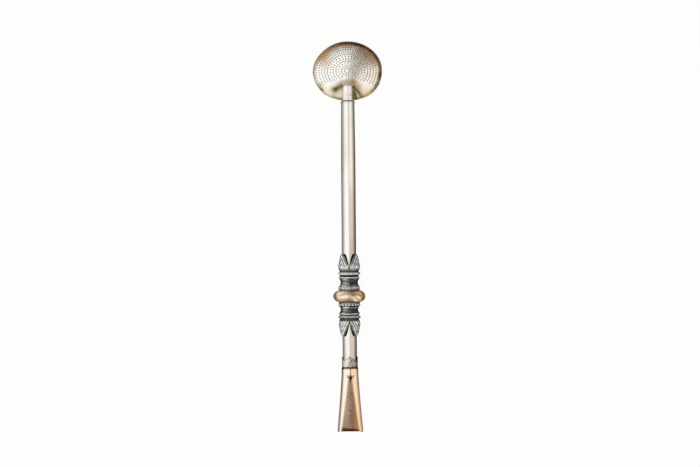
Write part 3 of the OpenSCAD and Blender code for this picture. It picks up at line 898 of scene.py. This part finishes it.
waistShape = {"middle": 4.35, "bore": 3.62, "rows": 40, "columns": 180, "ringWidth": 0.2, "ringOut": 0.14,
              "rough": 0.05, "roughSize": 0.9, "worn": 0.24, "ringWorn": 0.35, "flareWorn": 0.15,
              "rubReach": (0.3, 1.8), "streak": 0.3, "streakSize": 1.6, "gleam": 0.3,
              "gleamAt": -2.0, "gleamWidth": 1.5}


def waist(name, node, fineRings, rub):        # fine rings lie at mm from the gold ring's end
    low, high, end = span(node)
    height = high - low
    thin, bore, columns = waistShape["middle"], waistShape["bore"], waistShape["columns"]
    flare = end - thin
    arc = ((height / 2) ** 2 + flare ** 2) / (2 * flare)
    ringEnd = low if abs(low - ringMiddle) < abs(high - ringMiddle) else high
    profile, worn = [], []
    for row in range(waistShape["rows"] + 1):
        along = low + height * row / waistShape["rows"]
        away = along - (low + high) / 2
        fromRing = abs(along - ringEnd)
        radius = thin + arc - math.sqrt(arc ** 2 - away ** 2)
        crest = max((hump(fromRing, place, waistShape["ringWidth"]) for place in fineRings), default=0.0)
        profile.append((min(radius + waistShape["ringOut"] * crest, end), along))
        rubbed = rub * (1 - ease(fromRing, *waistShape["rubReach"]))
        worn.append(waistShape["worn"] + waistShape["ringWorn"] * crest
                    + waistShape["flareWorn"] * (radius - thin) / flare + rubbed)
    profile += [(bore, high), (bore, low)]
    worn += [0.0, 0.0]

    def dent(angle, along, radius):
        if radius <= bore:
            return 0.0
        spot = aroundStem(radius, along, angle)
        return -waistShape["rough"] * halfGrain(spot, waistShape["roughSize"], 3.0)

    points, faces = lathe(profile, columns, dent)
    polish = []
    for index, (x, y, z) in enumerate(points):
        streak = grainAt((x * 0.5, y * 2, z * 0.5), waistShape["streakSize"], 7.0)
        gleam = waistShape["gleam"] * hump(x, waistShape["gleamAt"], waistShape["gleamWidth"])
        polish.append(clamp(worn[index // columns] + waistShape["streak"] * streak + gleam))
    buildPiece(name, "stem", [node], points, faces, [chasedFinish],
               {"polish": polish}, sharp=50)


waist("waistStrainerSide", "strainer_side_waist", [], 0.18)
waist("waistMouthSide", "mouth_side_waist", [0.75], 0.0)
# finish, radius where it is dark and where it is bright, painted shade on the mouth side
ringLook = {"strainer_side_large_beads": ("upperLargeBeads", 4.55, 5.35, 0.2),
            "strainer_side_wire_ring": ("upperWire", 3.6, 4.5, 0.6),
            "strainer_side_small_beads": ("upperSmallBeads", 4.2, 5.6, 0.6),
            "mouth_side_large_beads": ("lowerLargeBeads", 4.6, 5.4, 0.5),
            "mouth_side_wire_ring": ("lowerWire", 4.2, 5.3, 0.6),
            "mouth_side_small_beads": ("lowerSmallBeads", 4.2, 5.6, 0.6)}
for ringNode, (finishName, darkRadius, brightRadius, tarnishAndShade) in ringLook.items():
    dress([ringNode], ringSilver(finishName, darkRadius, brightRadius, ringNode, tarnishAndShade))
# the seats are kept dark: patina, and painted shade in the gap between the beads and the gold ring
dress(["strainer_side_seat", "mouth_side_seat"], ringSilver("seatSilver", 4.3, 6.0))

goldRingShape = {"flat": 4.6, "bore": 3.65, "shoulder": 0.35, "rows": 56, "columns": 220,
                 "dent": 0.4, "dentSize": 3.6, "dentReach": 1.5,
                 "sideShade": 0.75, "underShade": 0.46, "seatShade": 0.35, "lobeHighlight": 1.5, "topHighlight": 0.6,
                 "sideFrom": (5.4, 6.9), "underAt": -0.8, "underWidth": 3.2, "underFrom": (0.6, 1.6),
                 "seatReach": (4.8, 5.6), "topFrom": (0.8, 2.2), "topUntil": (1.5, -1.0),
                 "slant": 9.0,                # painted highlight lobes: degrees, mm from the middle, their half sizes
                 "lobes": [(-30, 0.5, 29, 1.7), (12, -0.4, 5, 1.2), (34, -0.2, 5.5, 1.0), (24, -1.6, 7, 0.7),
                           (82, 0.3, 14, 0.8), (128, -0.4, 20, 1.0), (170, 0.4, 12, 0.9),
                           (205, -0.2, 16, 1.0), (250, 0.3, 12, 0.9), (285, -0.4, 10, 0.8)]}


def ringShade(x, away, rise):                 # painted shade at the sides, under the middle, beside the seats
    side = goldRingShape["sideShade"] * ease(abs(x), *goldRingShape["sideFrom"]) * ease(rise, 0.0, 2.5)
    under = goldRingShape["underShade"] * hump(x, goldRingShape["underAt"], goldRingShape["underWidth"])
    under *= ease(-away, *goldRingShape["underFrom"])
    seat = goldRingShape["seatShade"] * (1 - ease(math.hypot(x, rise), *goldRingShape["seatReach"]))
    return clamp(max(seat, side, under))


def ringHighlights(x, away, rise):
    turn = math.degrees(math.atan2(x, rise))
    lobe = max(hump(turnBetween(turn + goldRingShape["slant"] * (away - up), place), 0, wide)
               * hump(away, up, tall) for place, up, wide, tall in goldRingShape["lobes"])
    top = goldRingShape["topHighlight"] * ease(away, *goldRingShape["topFrom"])
    top *= ease(x, *goldRingShape["topUntil"])
    return clamp(max(goldRingShape["lobeHighlight"] * lobe, top))


def goldRing():
    low = span("gold_ring_mouth_half")[0]
    high, widest = span("gold_ring_strainer_half")[1:]
    half = (high - low) / 2
    flat, bore, rows = goldRingShape["flat"], goldRingShape["bore"], goldRingShape["rows"]
    shoulder = flat - goldRingShape["shoulder"]
    profile = [(bore, low), (shoulder, low)]
    for row in range(rows + 1):
        angle = math.pi * (row / rows - 0.5)
        profile.append((flat + (widest - flat) * math.cos(angle), ringMiddle + half * math.sin(angle)))
    profile += [(shoulder, high), (bore, high)]

    def dent(angle, along, radius):
        bulge = ease(radius, flat, flat + goldRingShape["dentReach"])
        spot = aroundStem(radius, along, angle)
        return -goldRingShape["dent"] * bulge * halfGrain(spot, goldRingShape["dentSize"], 11.0)

    points, faces = lathe(profile, goldRingShape["columns"], dent)
    places = [(x, y - ringMiddle, z - axisHeight) for x, y, z in points]
    grime = [ringShade(*place) for place in places]
    rub = [ringHighlights(*place) for place in places]
    buildPiece("goldRing", "gold_ring", ["gold_ring_mouth_half", "gold_ring_strainer_half"],
               points, faces, [ringFinish], {"grime": grime, "rub": rub}, sharp=50)


goldRing()
print("ornament made")


# mouthpiece: s runs from the lips to the ferrule
mouthShape = {"round": 2.0, "roundRadius": 4.15, "width": 13.0, "thick": 4.0, "wall": 0.4, "flare": 1.2,
              "lip": 0.35, "lipSteps": 5, "scoop": 1.3, "scoopFade": 3.5, "scoopMargin": 0.8,
              "scoopEdge": (0.4, 0.9), "innerEnd": 0.999, "flankRise": (0.0, 0.7),
              "columns": 256, "fineFrom": 23.5, "fineStep": 0.13, "coarseStep": 0.45, "innerRows": 24,
              "endRound": 0.12, "engraveDepth": 0.14, "panelEdge": (-0.8, 0.7), "panelWiden": 0.6,
              "panelFrom": 0.15, "lipBand": (0.4, 2.0), "lipSlant": 0.3, "flankBand": (0.55, 1.5),
              "cutGrime": 0.95, "lipShade": 0.9, "leftFlankShade": 0.75, "rightFlankShade": 0.62, "seamDark": 0.75,
              "seamBand": (0.8, 0.1)}
# strokes: start, end, strength
engraving = {"strokes": [((0.3, 31.7), (0.3, 28.2), 0.6), ((-1.4, 28.4), (0.15, 26.4), 0.9),
                         ((1.8, 28.4), (0.55, 26.4), 0.9)], "stroke": 0.32,
             "bladeTop": 28.8, "bladeFoot": 25.2, "bladeHalf": 0.62, "bladeX": 0.32, "bladeSoft": 0.2,
             "footTaper": 1.5, "topTaper": 4}
mouthLow, mouthHigh = span("mouthpiece_shell")[:2]
mouthLength = mouthHigh - mouthLow


def engraved(x, s):                           # 1 in a cut, 0 beside it
    width = engraving["stroke"]
    share = max(depth * (1 - ease(fromStroke(x, s, start, end), width * 0.5, width))
                for start, end, depth in engraving["strokes"])
    up = (s - engraving["bladeFoot"]) / (engraving["bladeTop"] - engraving["bladeFoot"])
    if 0 < up < 1:
        taper = min(up * engraving["footTaper"], (1 - up) * engraving["topTaper"], 1)
        reach = engraving["bladeHalf"] * taper
        soft = reach + engraving["bladeSoft"]
        share = max(share, 1 - ease(abs(x - engraving["bladeX"]), reach, soft))
    return share


def mouthRing(s, inset, outside):             # one ring of points, with its marks
    columns = mouthShape["columns"]
    roundStart = mouthLength - mouthShape["round"]
    flatShare = clamp((roundStart - s) / roundStart)
    start = mouthShape["roundRadius"]
    radius = start - (start - mouthShape["thick"] / 2) * flatShare
    halfWidth = start + (mouthShape["width"] / 2 - start) * flatShare ** mouthShape["flare"]
    straight = halfWidth - radius
    panelHalf = straight + mouthShape["panelWiden"] * (1 - flatShare)
    seam = ease(s, *[mouthLength - place for place in mouthShape["seamBand"]])
    ring = []
    for column in range(columns):
        angle = 2 * math.pi * (column + 0.5) / columns
        x = (straight + radius - inset) * math.cos(angle)
        bend = max(abs(x) - straight, 0.0)
        high = math.sqrt(max((radius - inset) ** 2 - bend ** 2, 0.0))
        front = math.sin(angle) > 0
        place = s
        flank = 0.0
        if front:
            middle = clamp(1 - (x / (straight + mouthShape["scoopMargin"])) ** 2)
            fade = clamp(1 - s / mouthShape["scoopFade"]) ** 2
            place += mouthShape["scoop"] * ease(high / radius, *mouthShape["scoopEdge"]) * middle * fade
            # painted shade on the flanks of the upper side
            flank = 1 - ease(halfWidth - abs(x), *mouthShape["flankBand"])
            flank *= ease(high, *mouthShape["flankRise"])
            flank *= mouthShape["leftFlankShade" if x < 0 else "rightFlankShade"]
        cut = engraved(x, s) if outside and front else 0.0
        panel = 1 - ease(abs(x) - panelHalf, *mouthShape["panelEdge"])
        panel *= ease(flatShare, 0.0, mouthShape["panelFrom"])
        # painted shade at the lips, on the panel
        lip = 1 - ease(s - mouthShape["lipSlant"] * max(-x, 0), *mouthShape["lipBand"])
        height = (high - mouthShape["engraveDepth"] * cut) * (1 if front else -1)
        grime = (mouthShape["cutGrime"] * cut + mouthShape["lipShade"] * lip * panel + flank
                 + mouthShape["seamDark"] * seam)
        ring.append(((x, mouthLow + place, axisHeight + height), panel, clamp(grime)))
    return ring


def mouthpiece():
    wall, lip, columns = mouthShape["wall"], mouthShape["lip"], mouthShape["columns"]
    last = mouthLength - mouthShape["endRound"]
    rings = []
    for i in range(mouthShape["lipSteps"] + 1):
        angle = math.pi / 2 * i / mouthShape["lipSteps"]
        rings.append(mouthRing(lip * (1 - math.cos(angle)), lip * (1 - math.sin(angle)), True))
    s = lip
    while s < last:
        s += mouthShape["coarseStep"] if s < mouthShape["fineFrom"] else mouthShape["fineStep"]
        rings.append(mouthRing(min(s, last), 0.0, True))
    rings.append(mouthRing(mouthLength, mouthShape["endRound"], True))
    outer = len(rings)
    rings.append(mouthRing(mouthLength, wall, False))
    for i in range(mouthShape["innerRows"], -1, -1):
        s = mouthLength * i / mouthShape["innerRows"] * mouthShape["innerEnd"]
        rings.append(mouthRing(s, wall, False))
    points, panel, grime = zip(*[entry for ring in rings for entry in ring])
    faces = ringFaces(len(rings), columns)
    inside = range(outer - 1, len(rings) - 1)          # the last row closes the lips in gold
    slots = [1 if face // columns in inside else 0 for face in range(len(faces))]
    buildPiece("mouthpieceShell", "mouthpiece", ["mouthpiece_shell"], points, faces,
               [mouthFinish, mouthInsideShadow], {"panel": panel, "grime": grime}, sharp=50, slots=slots)


mouthpiece()
dress(["mouthpiece_socket"], mouthInsideShadow)


ferruleLook = {"silver": tone(226, 220, 210), "patinaAndShade": tone(66, 54, 42), "blotSize": 1.5, "gritSize": 0.4,
               "rightAcross": (-1.0, 0.8), "flankAcross": (2.4, 3.6), "seamBand": (0.6, 0.2),
               "blotShare": 0.8, "flankShare": 0.55, "patinaAndShadeShare": 0.85}


def ferruleSilver():
    look = ferruleLook
    paint = newPaint("ferruleSilver")
    foot = span("ferrule")[0]
    blot = paint.noise(look["blotSize"], (1, 0.7, 1), 4.0)
    grit = paint.noise(look["gritSize"], (1, 0.4, 1), 2.0)
    x, y, z = paint.split(paint.place())
    front = paint.step(z - axisHeight, 0.0, 1.4)
    right = paint.step(x, *look["rightAcross"]) * front
    # patina blots, more of them on the right of the upper side; painted shade on the flanks of the upper
    # side; a dark band at the seam
    stainAndShade = paint.step(blot + right * 0.2, 0.5, 0.7) * look["blotShare"]
    stainAndShade = stainAndShade + paint.step(abs(x), *look["flankAcross"]) * front * look["flankShare"]
    stainAndShade = stainAndShade + paint.step(y, *[foot + place for place in look["seamBand"]])
    colour = paint.mix(stainAndShade * look["patinaAndShadeShare"], look["silver"], look["patinaAndShade"])
    return paint.metal(colour, 0.2 + stainAndShade * 0.2, 1.0, stemLook["edge"], grit * 0.02 - stainAndShade * 0.02)


dress(["ferrule"], ferruleSilver())
print("mouthpiece made")


# stage
stage = {"floorSize": 8.0, "floorDrop": 0.2, "floor": tone(248, 248, 248), "whiteShare": 0.95}


def floor():
    half = stage["floorSize"] / 2
    mesh = bpy.data.meshes.new("floor")
    corners = [(-half, -half, 0), (half, -half, 0), (half, half, 0), (-half, half, 0)]
    mesh.from_pydata(corners, [], [(0, 1, 2, 3)])
    plane = bpy.data.objects.new("floor", mesh)
    plane.location.z = -stage["floorDrop"] * mm
    bpy.context.scene.collection.objects.link(plane)
    paint = newPaint("paleFloor")
    matte = paint.add("ShaderNodeBsdfDiffuse", None, {"Color": stage["floor"]})
    white = paint.add("ShaderNodeEmission", None, {"Color": (1, 1, 1, 1), "Strength": 1.0})
    seen = [paint.add("ShaderNodeLightPath", None, None, ray)
            for ray in ("Is Camera Ray", "Is Glossy Ray", "Is Transmission Ray")]
    share = (seen[0] + seen[1] + seen[2]) * stage["whiteShare"]
    surface = paint.add("ShaderNodeMixShader", None, {0: share, 1: matte, 2: white})
    paint.add("ShaderNodeOutputMaterial", None, {"Surface": surface})
    mesh.materials.append(paint.owner)


floor()

# ranges are of a direction's x, to the right, and its y, to the strainer
studioLook = {"left": (1.05, 1.04, 1.02, 1.0), "right": (0.97, 0.925, 0.85, 1.0),
              "rightFoot": (1.04, 1.0, 0.94, 1.0), "gapHead": tone(150, 139, 123),
              "gapTube": tone(204, 197, 188), "gapFoot": tone(142, 133, 124), "headLeft": tone(198, 193, 186),
              "headRight": tone(176, 171, 164), "foot": tone(240, 234, 218),
              "rightFrom": (-0.02, 0.2), "rightFootFrom": (0.0, -0.15), "gapHeadFrom": (0.08, 0.25),
              "gapFootFrom": (-0.08, -0.2), "gapStart": (-0.02, 0.1), "gapStop": (0.28, 0.12),
              "gapSpread": 1.25, "headTurn": (-0.3, 0.3), "headFrom": (0.55, 0.92),
              "footFrom": (-0.3, -0.55), "footShare": 0.7}


def studio():                                 # soft white on the left, warm on the right, a dim gap between
    look = studioLook
    world = bpy.data.worlds.new("studio")
    paint = Paint(world)
    x, y = paint.split(paint.add("ShaderNodeTexCoord", out="Generated"))[:2]
    right = paint.mix(paint.step(y, *look["rightFootFrom"]), look["right"], look["rightFoot"])
    colour = paint.mix(paint.step(x, *look["rightFrom"]), look["left"], right)
    gap = paint.mix(paint.step(y, *look["gapHeadFrom"]), look["gapTube"], look["gapHead"])
    below = paint.step(y, *look["gapFootFrom"])
    gap = paint.mix(below, gap, look["gapFoot"])
    wider = y.join("MAXIMUM", y, 0.0) * look["gapSpread"]
    within = paint.step(x + below * 0.1 - y * 0.1, *look["gapStart"])
    within = within * paint.step(x - wider, *look["gapStop"])
    colour = paint.mix(within, colour, gap)
    head = paint.mix(paint.step(x, *look["headTurn"]), look["headLeft"], look["headRight"])
    colour = paint.mix(paint.step(y + abs(x) * 0.6, *look["headFrom"]), colour, head)
    colour = paint.mix(paint.step(y, *look["footFrom"]) * look["footShare"], colour, look["foot"])
    light = paint.add("ShaderNodeBackground", None, {"Color": colour, "Strength": 1.0})
    paint.add("ShaderNodeOutputWorld", None, {"Surface": light})
    bpy.context.scene.world = world


studio()

cameraShape = {"lens": 85.0, "sensor": 36.0, "frameWidth": 350.0, "shiftX": 0.6, "shiftY": 1.5, "turn": -0.48}


def camera():
    data = bpy.data.cameras.new("camera")
    data.lens = cameraShape["lens"]
    data.sensor_width = cameraShape["sensor"]
    eye = bpy.data.objects.new("camera", data)
    height = axisHeight + cameraShape["frameWidth"] * cameraShape["lens"] / cameraShape["sensor"]
    eye.location = Vector((cameraShape["shiftX"], cameraShape["shiftY"], height)) * mm
    eye.rotation_euler.z = math.radians(cameraShape["turn"])
    bpy.context.scene.collection.objects.link(eye)
    bpy.context.scene.camera = eye


camera()
bpy.context.scene.view_settings.view_transform = "Standard"
print("stage, light and camera set")
